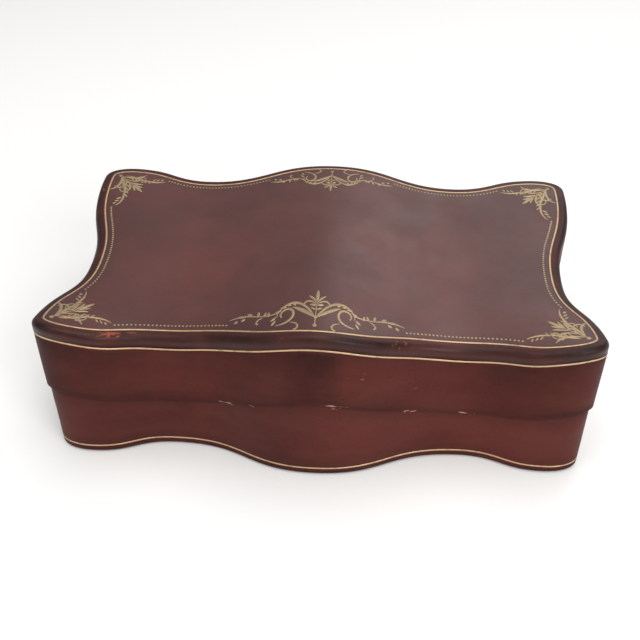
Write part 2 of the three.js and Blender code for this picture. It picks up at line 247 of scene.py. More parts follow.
# ---------------------------------------------------------------- materials
class Shader:
    """A material's node tree, with short ways to add nodes."""

    def __init__(self, name):
        self.material = bpy.data.materials.new(name)
        self.material.use_nodes = True
        self.tree = self.material.node_tree
        self.bsdf = self.tree.nodes["Principled BSDF"]
        self.coordinates = self.tree.nodes.new("ShaderNodeTexCoord").outputs["Object"]

    def node(self, kind, **inputs):
        made = self.tree.nodes.new(kind)
        for key, value in inputs.items():
            self.feed(made.inputs[key], value)
        return made

    def feed(self, socket, value):
        if isinstance(value, bpy.types.NodeSocket):
            self.tree.links.new(value, socket)
        else:
            socket.default_value = value

    def set(self, **inputs):
        for key, value in inputs.items():
            self.feed(self.bsdf.inputs[key.replace("_", " ")], value)

    def noise(self, scale, detail=3.0, roughness=0.55, stretch=None):
        vector = self.coordinates if stretch is None else self.stretched(stretch)
        made = self.node("ShaderNodeTexNoise", Vector=vector, Scale=scale, Detail=detail)
        made.inputs["Roughness"].default_value = roughness
        return made.outputs["Fac"]

    def stretched(self, factors):
        made = self.node("ShaderNodeMapping", Vector=self.coordinates)
        made.inputs["Scale"].default_value = factors
        return made.outputs["Vector"]

    def cells(self, scale):
        return self.node("ShaderNodeTexVoronoi", Vector=self.coordinates, Scale=scale).outputs["Distance"]

    def attribute(self, name):
        made = self.node("ShaderNodeAttribute")
        made.attribute_name = name
        return made.outputs["Fac"]

    def ramp(self, value, low, high, to_low=0.0, to_high=1.0):
        made = self.node("ShaderNodeMapRange", Value=value)
        made.interpolation_type = "SMOOTHSTEP"
        for key, number in zip(("From Min", "From Max", "To Min", "To Max"), (low, high, to_low, to_high)):
            made.inputs[key].default_value = number
        return made.outputs["Result"]

    def math(self, operation, a, b):
        made = self.tree.nodes.new("ShaderNodeMath")
        made.operation = operation
        self.feed(made.inputs[0], a)
        self.feed(made.inputs[1], b)
        return made.outputs[0]

    def mix(self, share, a, b, blend="MIX"):
        made = self.tree.nodes.new("ShaderNodeMix")
        made.data_type = "RGBA"
        made.blend_type = blend
        self.feed(made.inputs["Factor"], share)
        for key, colour in (("A", a), ("B", b)):
            socket = next(s for s in made.inputs if s.name == key and s.type == "RGBA")
            self.feed(socket, colour if isinstance(colour, bpy.types.NodeSocket) else (*colour, 1.0))
        return next(s for s in made.outputs if s.type == "RGBA")

    def bump(self, *layers):
        """Each layer is a height, its depth in metres and its strength."""
        normal = None
        for height, depth, strength in layers:
            made = self.node("ShaderNodeBump", Height=height)
            made.inputs["Distance"].default_value = depth
            made.inputs["Strength"].default_value = strength
            if normal:
                self.tree.links.new(normal, made.inputs["Normal"])
            normal = made.outputs["Normal"]
        self.tree.links.new(normal, self.bsdf.inputs["Normal"])


OXBLOOD_DEEP = (0.056, 0.0125, 0.0105)
OXBLOOD_WARM = (0.104, 0.0220, 0.0175)
# near-black brown for dark specks, for burnish and for painted shade
SPECKS_BURNISH_AND_SHADE = (0.0120, 0.0045, 0.0035)
ABRASION = (0.23, 0.058, 0.028)
SCUFF = (0.40, 0.21, 0.16)
GOLD = (0.62, 0.42, 0.25)
GOLD_WORN = (0.24, 0.12, 0.065)
OLD_GOLD = (0.42, 0.315, 0.185)
OLD_GOLD_WORN = (0.17, 0.10, 0.06)


def leather_material(name, rough_low=0.36, rough_high=0.52, coat=0.2, specular=0.5, depth=1.0):
    """Waxed calf: mottled oxblood, with painted shade and burnish where `shade_and_burnish` is high, rubbed
    through where `wear` is.
    """
    s = Shader(name)
    clouds = s.ramp(s.noise(13.0, 4.0), 0.25, 0.78)
    streaks = s.ramp(s.noise(30.0, 5.0, 0.6, (1.0, 1.0, 3.5)), 0.35, 0.7)
    colour = s.mix(clouds, *([depth * c for c in dye] for dye in (OXBLOOD_DEEP, OXBLOOD_WARM)))
    colour = s.mix(s.math("MULTIPLY", streaks, 0.22), colour, (0.115, 0.033, 0.024))
    specks = s.ramp(s.noise(620.0, 2.0), 0.62, 0.74)
    colour = s.mix(s.math("MULTIPLY", specks, 0.3), colour, SPECKS_BURNISH_AND_SHADE)
    # painted shade, with burnish on the edges: darkens seams, grooves, the foot, the edge rolls, dim wall
    # flanks and the top's ends
    shade_and_burnish = s.math("MULTIPLY", s.attribute("shade_and_burnish"), s.ramp(s.noise(75.0, 4.0), 0.2, 0.6, 0.55, 1.0))
    colour = s.mix(shade_and_burnish, colour, SPECKS_BURNISH_AND_SHADE)
    fray = s.noise(330.0, 6.0, 0.7, (0.35, 0.6, 1.8))
    worn = s.ramp(s.math("ADD", fray, s.math("MULTIPLY", s.attribute("wear"), 0.46)), 0.86, 0.93)
    colour = s.mix(worn, colour, ABRASION)
    streak = s.noise(620.0, 3.0, 0.6, (0.22, 0.22, 1.5))
    nicks = s.ramp(s.math("ADD", streak, s.math("MULTIPLY", s.attribute("nick"), 0.36)), 0.85, 0.92)
    colour = s.mix(nicks, colour, SCUFF)
    rough = s.ramp(s.noise(42.0, 4.0), 0.3, 0.7, rough_low, rough_high)
    rough = s.math("ADD", rough, s.math("MULTIPLY", s.math("ADD", worn, nicks), 0.25))
    s.set(Base_Color=colour, Roughness=rough, Coat_Weight=coat, Coat_Roughness=0.3)
    s.bsdf.inputs["Specular IOR Level"].default_value = specular
    pores = s.cells(1500.0)
    creases = s.noise(260.0, 5.0, 0.6)
    s.bump(
        (s.noise(26.0, 3.0), 0.0012, 0.35),
        (creases, 0.00018, 0.35),
        (pores, 0.0001, 0.3),
        (s.math("MULTIPLY", worn, -1.0), 0.0002, 0.6),
    )
    return s.material


def gilt_material(name, bright, worn):
    """Gold leaf pressed into leather, rubbed thin in places."""
    s = Shader(name)
    rubbed = s.ramp(s.noise(190.0, 5.0, 0.7), 0.48, 0.72)
    colour = s.mix(s.math("MULTIPLY", rubbed, 0.75), bright, worn)
    s.set(Base_Color=colour, Roughness=s.ramp(s.noise(700.0, 3.0), 0.3, 0.7, 0.36, 0.55))
    s.set(Metallic=s.ramp(rubbed, 0.0, 1.0, 0.75, 0.35))
    s.bump((s.noise(1400.0, 3.0), 0.00004, 0.4))
    return s.material


def velvet_material(name, deep, pale, pile_scale=900.0):
    """Cotton velvet: a short pile, crushed in soft patches."""
    s = Shader(name)
    crushed = s.ramp(s.noise(34.0, 4.0, 0.6), 0.3, 0.7)
    pile = s.noise(pile_scale, 2.0)
    colour = s.mix(crushed, deep, pale)
    colour = s.mix(s.ramp(pile, 0.35, 0.7, 0.0, 0.35), colour, tuple(1.5 * c for c in pale))
    s.set(Base_Color=colour, Roughness=s.ramp(crushed, 0.0, 1.0, 0.95, 0.8))
    s.set(Sheen_Weight=0.55, Sheen_Roughness=0.35, Sheen_Tint=(0.9, 0.45, 0.48, 1.0))
    s.bsdf.inputs["Specular IOR Level"].default_value = 0.15
    s.bump((pile, 0.00035, 0.6), (crushed, 0.0008, 0.3))
    return s.material


def satin_material(name):
    """Champagne silk satin with fine warp threads."""
    s = Shader(name)
    clouds = s.ramp(s.noise(22.0, 3.0), 0.3, 0.7)
    threads = s.noise(260.0, 2.0, 0.5, (0.12, 9.0, 1.0))
    colour = s.mix(clouds, (0.52, 0.37, 0.21), (0.64, 0.48, 0.29))
    colour = s.mix(s.ramp(threads, 0.3, 0.7, 0.0, 0.3), colour, (0.42, 0.28, 0.15))
    s.set(Base_Color=colour, Roughness=s.ramp(threads, 0.3, 0.7, 0.3, 0.45))
    s.set(Sheen_Weight=0.2, Anisotropic=0.5)
    s.bump((threads, 0.00012, 0.5), (s.noise(60.0, 4.0), 0.0009, 0.25))
    return s.material


def wood_material(name):
    """Plain softwood board, grain along X."""
    s = Shader(name)
    grain = s.noise(90.0, 5.0, 0.65, (0.06, 1.0, 1.0))
    pores = s.noise(700.0, 2.0, 0.5, (0.04, 1.0, 1.0))
    colour = s.mix(s.ramp(grain, 0.3, 0.7), (0.42, 0.25, 0.12), (0.24, 0.12, 0.05))
    colour = s.mix(s.ramp(pores, 0.5, 0.75, 0.0, 0.5), colour, (0.12, 0.055, 0.025))
    s.set(Base_Color=colour, Roughness=s.ramp(grain, 0.3, 0.7, 0.6, 0.8))
    s.bump((grain, 0.0003, 0.4), (pores, 0.0001, 0.4))
    return s.material


def brass_material(name):
    """Old drawn brass, dulled and darker where fingers and polish don't reach."""
    s = Shader(name)
    tarnish = s.ramp(s.noise(210.0, 5.0, 0.65), 0.42, 0.72)
    drawn = s.noise(600.0, 2.0, 0.5, (0.1, 1.0, 1.0))
    colour = s.mix(tarnish, (0.50, 0.35, 0.16), (0.27, 0.17, 0.08))
    s.set(Base_Color=colour, Metallic=1.0, Roughness=s.ramp(tarnish, 0.0, 1.0, 0.28, 0.55))
    s.bump((drawn, 0.00005, 0.5), (tarnish, 0.00006, 0.3))
    return s.material


LID_LEATHER = leather_material("lid_leather", 0.4, 0.52, coat=0.12, specular=0.5)
EDGE_LEATHER = leather_material("edge_leather", 0.36, 0.5, coat=0.0, specular=0.2)
SIDE_LEATHER = leather_material("side_leather", 0.46, 0.6, coat=0.0, specular=0.08, depth=0.86)
BASE_LEATHER = leather_material("base_leather", 0.46, 0.6, coat=0.0, specular=0.1, depth=1.03)
UNDERSIDE_LEATHER = leather_material("underside_leather", 0.6, 0.8, coat=0.0, specular=0.25)
LINE_GILT = gilt_material("line_gilt", GOLD, GOLD_WORN)
ORNAMENT_GILT = gilt_material("ornament_gilt", OLD_GOLD, OLD_GOLD_WORN)
VELVET = velvet_material("velvet", (0.060, 0.0060, 0.0110), (0.125, 0.0130, 0.0210))
SATIN = satin_material("satin")
WOOD = wood_material("wood")
BRASS = brass_material("brass")


# ---------------------------------------------------------------- leather skins
WARP = 0.35 * MM
WARP_SCALE = 55 * MM
WARP_SEED = 1
WALL_UNEVEN = 0.28 * MM
WALL_UNEVEN_SCALE = 40 * MM
LID_SIDE_SEED = 4
BASE_SIDE_SEED = 9
RIM_RADIUS = 1.0 * MM
RIM_FACE = 2.4 * MM
FOOT_RADIUS = 2.2 * MM
GROOVE_SLOPE = 0.35 * MM
LINE_WIDTH = 1.0 * MM
GROOVE = 0.12 * MM
TOP_LINE_INSET = 6.3 * MM
LID_LINE_DROP = 7.75 * MM
BASE_LINE_RISE = 5.1 * MM


def top_height(x, y):
    """The leather's upper face, with the slow unevenness of old bent board."""
    x, y = np.atleast_1d(x), np.atleast_1d(y)
    points = np.column_stack([x, y, 0 * x])
    return LID_TOP + wave(x, y) + roughen(points, WARP_SCALE, WARP, WARP_SEED)


def groove_steps(centre):
    """Insets or rises across one tooled line, with how far the leather is pressed in at each."""
    half = LINE_WIDTH / 2
    return [
        (centre - half - GROOVE_SLOPE, 0.0),
        (centre - half, GROOVE),
        (centre + half, GROOVE),
        (centre + half + GROOVE_SLOPE, 0.0),
    ]


def patches(stations, spots):
    """Bumps of given strength along the outline: (distance from the front's middle, half width, strength)."""
    total = np.zeros(len(stations))
    for centre, half, strength in spots:
        gap = np.mod(stations - centre + PERIMETER / 2, PERIMETER) - PERIMETER / 2
        total += strength * np.clip(1 - (gap / half) ** 2, 0, 1)
    return total


def skin(name, rows, looped, material):
    """A closed skin. Each row is a ring: inset, z, and shrink, waved, shade_and_burnish (painted shade and
    burnish), wear and nick if not plain.
    """
    rings = [ring(r["inset"], r["z"], r.get("shrink", 1.0), r.get("waved", 1.0)) for r in rows]
    piece = add_mesh(name, *loft(rings, looped), material)
    for key in ("shade_and_burnish", "wear", "nick"):
        values = []
        for row, points in zip(rows, rings):
            value = np.broadcast_to(row.get(key, 0.0), (AROUND,))
            values.append(value[: len(points)])
        set_attribute(piece, key, np.concatenate(values))
    return piece


def corner_arc(centre_inset, centre_z, radius, start, stop, count):
    """Rows round a quarter circle; 0 degrees faces out and 90 faces up."""
    rows = []
    for degrees in np.linspace(start, stop, count):
        angle = math.radians(degrees)
        rows.append({
            "inset": centre_inset - radius * math.cos(angle),
            "z": centre_z + radius * math.sin(angle),
            "angle": degrees,
        })
    return rows


def edge_shade_and_burnish(base):
    """Painted shade and burnish along an edge, darker on the lobes."""
    point, _ = along(STATIONS)
    lobes = np.clip((np.abs(point[:, 0]) / HALF_LENGTH - 0.72) / 0.25, 0, 1)
    slow = np.array([noise.noise(Vector((*p, 0.3)) / 0.045) for p in point])
    return np.clip(base * (0.85 + 0.35 * lobes + 0.3 * slow), 0, 1)


# along the outline from the middle of the front, in metres: where, half width, strength
EDGE_WEAR = [(-0.112, 0.024, 0.95), (-0.016, 0.007, 0.85), (0.047, 0.013, 0.8), (0.085, 0.02, 0.5),
             (0.30, 0.03, 0.6), (-0.30, 0.03, 0.6), (0.42, 0.02, 0.5), (-0.40, 0.03, 0.6), (0.16, 0.02, 0.45)]
SEAM_NICKS = [(-0.052, 0.009, 0.95), (-0.035, 0.004, 0.8), (0.010, 0.013, 1.0), (0.055, 0.007, 0.85),
              (0.083, 0.012, 0.85), (0.20, 0.02, 0.6), (-0.22, 0.02, 0.6), (0.40, 0.03, 0.5),
              (-0.42, 0.03, 0.5)]
LID_SCUFFS = [(0.022, 0.016, 0.55), (0.06, 0.02, 0.35)]
# dark patches on the lid's wall: painted shade on the flanks that turn from the light, and a darker patch in
# the middle of the front
LID_WALL_SHADE_AND_STAIN = [(0.0, 0.016, 0.75), (-0.14, 0.05, 0.5), (0.115, 0.03, 0.4)]
# up the lid's wall: share of its height, painted shade (heavier by the seam and under the roll), share of the
# seam's nicks
LID_WALL_ROWS = [(0.06, 0.3, 0.6), (0.12, 0.14, 0.1), (0.25, 0.05, 0), (0.4, 0.0, 0),
                 (0.55, 0.0, 0), (0.7, 0.04, 0), (0.82, 0.1, 0), (0.9, 0.2, 0)]
FIELD_INSET = 8.2 * MM
FIELD_RINGS = 38
ENDS_FROM = 85 * MM
ENDS_FADE = 60 * MM


def lid_top():
    under_z = LID_TOP - LEATHER
    # painted shade, with burnish on the edges: along the skirt's joint, round the edge roll, in the gilt
    # line's groove and near the top's border
    rows = [{"inset": EDGE_RADIUS, "z": under_z, "shrink": k} for k in np.linspace(0, 1, 9)]
    inner = EDGE_RADIUS - LEATHER
    rows += corner_arc(EDGE_RADIUS, LID_TOP - EDGE_RADIUS, inner, 72, 0, 5)
    skirt_z = LID_TOP - TOP_SKIRT
    rows += [{"inset": LEATHER, "z": skirt_z}, {"inset": 0.0, "z": skirt_z, "shade_and_burnish": edge_shade_and_burnish(0.75)}]
    wear = patches(STATIONS, EDGE_WEAR)
    for row in corner_arc(EDGE_RADIUS, LID_TOP - EDGE_RADIUS, EDGE_RADIUS, 0, 90, 11):
        middle = math.sin(math.radians(2 * min(row["angle"], 89)))
        row["shade_and_burnish"] = edge_shade_and_burnish(0.62 + 0.3 * middle)
        row["wear"] = wear * (0.45 + 0.55 * math.sin(math.radians(row["angle"])))
        rows.append(row)
    edge_bands = len(rows)
    for inset, depth in groove_steps(TOP_LINE_INSET):
        z = LID_TOP - depth
        rows.append({"inset": inset, "z": z, "shade_and_burnish": edge_shade_and_burnish(0.55), "wear": 0.5 * wear})
    rows.append({"inset": FIELD_INSET, "z": LID_TOP, "shade_and_burnish": edge_shade_and_burnish(0.42)})
    x = along(STATIONS)[0][:, 0]
    for k in np.linspace(1, 0, FIELD_RINGS)[1:]:
        near_edge = edge_shade_and_burnish(0.36 * max(0.0, 1 - (1 - k) / 0.2))
        # painted shade on the top towards its ends, where it dips
        near_ends = 0.3 * np.clip((np.abs(k * x) - ENDS_FROM) / ENDS_FADE, 0, 1)
        shade_and_burnish = np.maximum(near_edge, near_ends)
        rows.append({"inset": FIELD_INSET, "z": LID_TOP, "shrink": k, "shade_and_burnish": shade_and_burnish})
    piece = skin("lid_top_skin", rows, False, LID_LEATHER)
    piece.data.materials.append(EDGE_LEATHER)
    for face in piece.data.polygons[: edge_bands * AROUND]:
        face.material_index = 1
    points = vertex_array(piece)
    upper = roughen(points * [1, 1, 0], WARP_SCALE, WARP, WARP_SEED)
    roll_starts = LID_TOP + wave(points[:, 0], points[:, 1]) - EDGE_RADIUS
    share = np.clip((points[:, 2] - roll_starts) / EDGE_RADIUS, 0, 1)
    points[:, 2] += upper * share
    move_points(piece, points)
    return face_out(piece)


def wall_skin(name, skin_inset, material, levels, seed):
    """A wall's leather, its outer face gently uneven. levels are its rows in order."""
    piece = skin(name, levels, True, material)
    points = vertex_array(piece)
    outward = along(STATIONS)[1]
    offsets = roughen(points, WALL_UNEVEN_SCALE, WALL_UNEVEN, seed)
    count = len(levels)
    points = points.reshape(count, AROUND, 3)
    for k, row in enumerate(levels):
        if row["inset"] < skin_inset + 0.6 * MM:
            points[k, :, :2] += outward * offsets.reshape(count, AROUND)[k][:, None]
    move_points(piece, points)
    return face_out(piece)


def lid_side():
    top_z = LID_TOP - TOP_SKIRT
    nick = patches(STATIONS, SEAM_NICKS)
    scuff = patches(STATIONS, LID_SCUFFS)
    shade_and_stain = patches(STATIONS, LID_WALL_SHADE_AND_STAIN)
    # painted shade on the rim face in the seam, low and high on the wall, and in the gilt line's groove
    rows = [
        {"inset": WALL_DEPTH, "z": LID_RIM + LEATHER, "shade_and_burnish": 0.5},
        {"inset": WALL_DEPTH, "z": LID_RIM, "shade_and_burnish": 0.5},
        {"inset": RIM_FACE, "z": LID_RIM, "shade_and_burnish": 0.6},
    ]
    for row in corner_arc(RIM_RADIUS, LID_RIM + RIM_RADIUS, RIM_RADIUS, -90, 0, 5):
        rows.append({**row, "shade_and_burnish": edge_shade_and_burnish(0.5), "nick": nick})
    height = top_z - LID_RIM
    for share, shade_and_burnish, nicked in LID_WALL_ROWS:
        # painted shade on the wall's turned flanks and a dark patch in the front's middle, heavier up the
        # wall
        rows.append({
            "inset": 0.0,
            "z": LID_RIM + share * height,
            "shade_and_burnish": np.clip(edge_shade_and_burnish(shade_and_burnish) + shade_and_stain * (0.4 + 0.6 * share), 0, 0.9),
            "nick": nick * nicked + scuff * (0.3 < share < 0.75),
        })
    for drop, depth in reversed(groove_steps(LID_LINE_DROP)):
        if LID_TOP - drop < top_z - 0.1 * MM:
            rows.append({"inset": depth, "z": LID_TOP - drop, "shade_and_burnish": edge_shade_and_burnish(0.3)})
    rows += [
        {"inset": 0.0, "z": top_z, "shade_and_burnish": edge_shade_and_burnish(0.4)},
        {"inset": LEATHER, "z": top_z},
        {"inset": LEATHER, "z": LID_RIM + LEATHER},
    ]
    return wall_skin("lid_side_skin", 0.0, SIDE_LEATHER, rows, LID_SIDE_SEED)


def base_side():
    inset = BASE_STEP
    depth = WALL_DEPTH + BASE_STEP
    foot_inner = inset + FOOT_RADIUS + 0.6 * MM
    nick = patches(STATIONS, SEAM_NICKS)
    # painted shade round the foot, in the gilt line's groove, up towards the rim and in the seam
    rows = [{"inset": foot_inner, "z": 0.0, "waved": 0.0, "shade_and_burnish": 0.8}]
    for row in corner_arc(inset + FOOT_RADIUS, FOOT_RADIUS, FOOT_RADIUS, -90, 0, 7):
        rows.append({**row, "waved": 0.0, "shade_and_burnish": edge_shade_and_burnish(0.62)})
    for rise, groove in groove_steps(BASE_LINE_RISE):
        rows.append({"inset": inset + groove, "z": rise, "waved": 0.0, "shade_and_burnish": edge_shade_and_burnish(0.3)})
    low = BASE_LINE_RISE + 3 * MM
    for share in (0.0, 0.15, 0.3, 0.45, 0.6, 0.75, 0.87, 0.95):
        rows.append({
            "inset": inset,
            "z": low + share * (BASE_RIM - RIM_RADIUS - low),
            "waved": share,
            "shade_and_burnish": edge_shade_and_burnish(0.16 if share == 0 else 0.3 * max(0.0, (share - 0.7) / 0.3)),
            "nick": nick * 0.7 * (share > 0.9),
        })
    for row in corner_arc(inset + RIM_RADIUS, BASE_RIM - RIM_RADIUS, RIM_RADIUS, 0, 90, 5):
        rows.append({**row, "shade_and_burnish": edge_shade_and_burnish(0.5), "nick": nick})
    rows += [
        {"inset": inset + RIM_FACE, "z": BASE_RIM, "shade_and_burnish": 0.6},
        {"inset": depth, "z": BASE_RIM, "shade_and_burnish": 0.5},
        {"inset": depth, "z": BASE_RIM - LEATHER, "shade_and_burnish": 0.5},
        {"inset": inset + LEATHER, "z": BASE_RIM - LEATHER},
        {"inset": inset + LEATHER, "z": FOOT_RADIUS, "waved": 0.0},
        {"inset": foot_inner, "z": LEATHER, "waved": 0.0},
    ]
    return wall_skin("base_side_skin", inset, BASE_LEATHER, rows, BASE_SIDE_SEED)


def base_underside():
    """The plain leather under the base, let in between the turned edges of the side leather."""
    edge = BASE_STEP + 3.0 * MM
    face = {"inset": edge + 0.3 * MM, "z": 0.15 * MM, "waved": 0.0}
    rows = [{"inset": edge, "z": LEATHER, "shrink": k, "waved": 0.0} for k in np.linspace(0, 1, 5)]
    # painted shade round the underside's rim
    rows.append({"inset": edge, "z": 0.35 * MM, "waved": 0.0, "shade_and_burnish": 0.6})
    rows.append({**face, "shade_and_burnish": 0.5})
    rows += [{**face, "shrink": k} for k in np.linspace(1, 0, 12)[1:]]
    return face_out(skin("base_underside_skin", rows, False, UNDERSIDE_LEATHER))


# ---------------------------------------------------------------- gilding
FOIL = 0.07 * MM
LINE_EASE = 4
WOBBLE = 0.09 * MM
WOBBLE_SCALE = 0.07


def foil_hoop(name, place_edge):
    """A closed gilt line; place_edge(across, lift) gives its ring of vertices."""
    half = LINE_WIDTH / 2
    left = [(-half, -GROOVE), (-half, 0.3 * FOIL), (-0.4 * half, FOIL)]
    right = [(-across, lift) for across, lift in reversed(left)]
    rings = [place_edge(across, lift - 0.5 * GROOVE) for across, lift in left + right]
    return face_out(add_mesh(name, *loft(rings, True), LINE_GILT))


def wobble(seed):
    """How a hand-run line wanders along its way."""
    angle = 2 * math.pi * STATIONS / PERIMETER
    spin = np.column_stack([np.cos(angle), np.sin(angle), 0 * angle])
    return roughen(spin, WOBBLE_SCALE, WOBBLE, seed)


def eased(plan, window):
    """A closed row of plan points with its tight turns rounded off."""
    weights = np.hanning(2 * window + 3)[1:-1]
    weights /= weights.sum()
    return sum(w * np.roll(plan, k - window, 0) for k, w in enumerate(weights))


def top_line():
    drift = wobble(3)

    def edge(across, lift):
        plan = eased(inset_plan(STATIONS, TOP_LINE_INSET + across + drift), LINE_EASE)
        return np.column_stack([plan, top_height(*plan.T) + lift])

    return foil_hoop("gilt_top_line", edge)


def wall_line(name, skin_inset, level, waved, seed, wall_seed):
    drift = wobble(seed)

    def edge(across, lift):
        point, outward = along(STATIONS)
        face = point - outward * skin_inset
        z = level + across + drift + (wave(*face.T) if waved else 0)
        face3 = np.column_stack([face, z])
        bulge = roughen(face3, WALL_UNEVEN_SCALE, WALL_UNEVEN, wall_seed)
        plan = face + outward * (bulge + lift + 0.05 * MM)[:, None]
        return np.column_stack([plan, z])

    return foil_hoop(name, edge)


def stroke(x, y, heading, length, turn_from, turn_to, widths):
    """A curl in mm and degrees: its turning rate changes evenly. Widths at its start, middle and end."""
    count = max(6, int(length / 0.8))
    step = length / count
    t = np.linspace(0, 1, count + 1)
    turn = np.radians(turn_from + (turn_to - turn_from) * t)
    angle = math.radians(heading) + np.concatenate([[0], np.cumsum((turn[1:] + turn[:-1]) / 2 * step)])
    mid = (angle[1:] + angle[:-1]) / 2
    px = x + np.concatenate([[0], np.cumsum(np.cos(mid) * step)])
    py = y + np.concatenate([[0], np.cumsum(np.sin(mid) * step)])
    w0, w1, w2 = widths
    width = w0 * (1 - t) ** 2 + 2 * (2 * w1 - (w0 + w2) / 2) * t * (1 - t) + w2 * t**2
    return px, py, angle, width


LEAF = (0.3, 1.7, 0.15)
# x, y, heading, length, turn from, turn to, widths; y grows towards the middle of the lid
EDGE_HALF = [
    (0.2, 8.5, 66, 46, -1.0, -7.2, (0.8, 1.9, 0.5)),  # arm over the inner scroll
    (1.2, 9.6, 46, 21, -2.0, -1.2, (0.3, 2.8, 0.2)),
    (25.8, 1.2, 166, 36, -2.4, -15.5, (0.5, 1.8, 0.9)),  # inner scroll
    (16.5, 4.6, 182, 12, 3, 26, (0.3, 1.1, 0.8)),
    (16.5, 21.0, 24, 4.6, -3, 3, LEAF),
    (21, 20.6, 8, 5.2, -3, 3, LEAF),
    (24.6, 18.8, -8, 5.4, -3, 3, LEAF),
    (27.4, 15.6, -26, 5.2, -3, 3, LEAF),
    (28.6, 9.4, -62, 5, 4, -4, LEAF),
    (27.6, 6.2, -82, 5, 4, -4, LEAF),
    (28.4, 13.8, -34, 17, 2.6, 1.0, (0.9, 0.9, 0.6)),  # tendril out to the beads
    (42.8, 8.9, 4, 17.5, -0.6, -5.4, (0.6, 1.2, 0.3)),
    (35.0, 9.6, 48, 4.6, 4, -2, LEAF),
    (38.8, 9.0, 82, 4.4, -4, 2, LEAF),
    (43, 9.2, 66, 4.6, -4, -4, LEAF),
    (39.2, 8.3, -34, 8, -8, -30, (0.4, 1.0, 0.9)),
    (48, 9.2, 40, 3.8, -8, -8, LEAF),
    (52, 7.8, 10, 3.6, -6, -6, LEAF),
    (50.5, 6.8, -70, 3, 6, 6, LEAF),
    (54.4, 4.6, -90, 2.8, 6, 6, LEAF),
    (0.5, 24.5, 58, 9.5, -1.5, -8, (0.4, 1.9, 0.3)),  # palmette
    (0.6, 22.8, 40, 14, -1, -25, (0.4, 1.2, 0.9)),
    (0.5, 21.4, 8, 5, 6, -20, (0.5, 1.9, 0.4)),
    (0.4, 17.0, 28, 4.2, 4, -16, (0.4, 1.3, 0.3)),
]
EDGE_MIDDLE = [(0, 3.0, 90, 22, 0, 0, (0.6, 0.7, 0.6)), (0, 25.6, 90, 11.5, 0, 0, (0.5, 2.8, 0.1))]
CORNER_HALF = [
    (0.6, 3.0, 60, 17, -1.5, -8, (0.4, 2.1, 0.4)),
    (0.5, 7.5, 72, 15, -2, -23, (0.5, 1.5, 0.8)),
    (0.3, 12.5, 56, 8.5, 2, -6, (0.4, 2.1, 0.3)),  # palmette
    (0.3, 15.5, 70, 7, 1, -5, (0.4, 1.9, 0.3)),
]
CORNER_MIDDLE = [(0, 1, 90, 16, 0, 0, (0.9, 1.0, 0.6)), (0, 16.5, 90, 9.5, 0, 0, (0.5, 2.8, 0.1))]
# arms that run from a corner along its two edges: x is the way from the corner, y the way in
CORNER_ARM = [
    (1.0, 2.6, 13, 22, 0.9, -1.4, (0.5, 2.4, 1.1)),
    (21.5, 7.2, 6, 16.5, -1.0, -6.4, (1.1, 1.7, 0.4)),
    (6, 4.6, 58, 5.6, -5, 2, LEAF),
    (10, 5.6, 52, 5.8, -5, 2, LEAF),
    (14, 6.4, 46, 5.6, -5, 2, LEAF),
    (18, 7.0, 42, 5.2, -5, 2, LEAF),
    (22.6, 7.5, 36, 4.6, -5, 2, LEAF),
    (27, 6.4, -70, 3.6, 5, 5, LEAF),
    (30.3, 5.2, -76, 3.2, 5, 5, LEAF),
    (33.2, 3.4, -84, 2.4, 5, 5, LEAF),
    (12.5, 4.4, -16, 16, 1.0, 34, (0.4, 1.1, 0.9)),
]
BEAD_INSET = 10.1 * MM
BEAD_RADIUS = 0.62 * MM
BEAD_PITCH = 1.82 * MM
FRONT_ORNAMENT_SIZE = 0.9
BACK_ORNAMENT_SIZE = 0.8
EDGE_ORNAMENT_REACH = 59 * MM
CORNER_ARM_START = 8 * MM
CORNER_REACH = 46 * MM
EDGE_WEIGHT = 1.2
CORNER_WEIGHT = 0.85


def flipped(strokes):
    """The mirror images of strokes, in x."""
    return [(-x, y, 180 - heading, length, -a, -b, w) for x, y, heading, length, a, b, w in strokes]


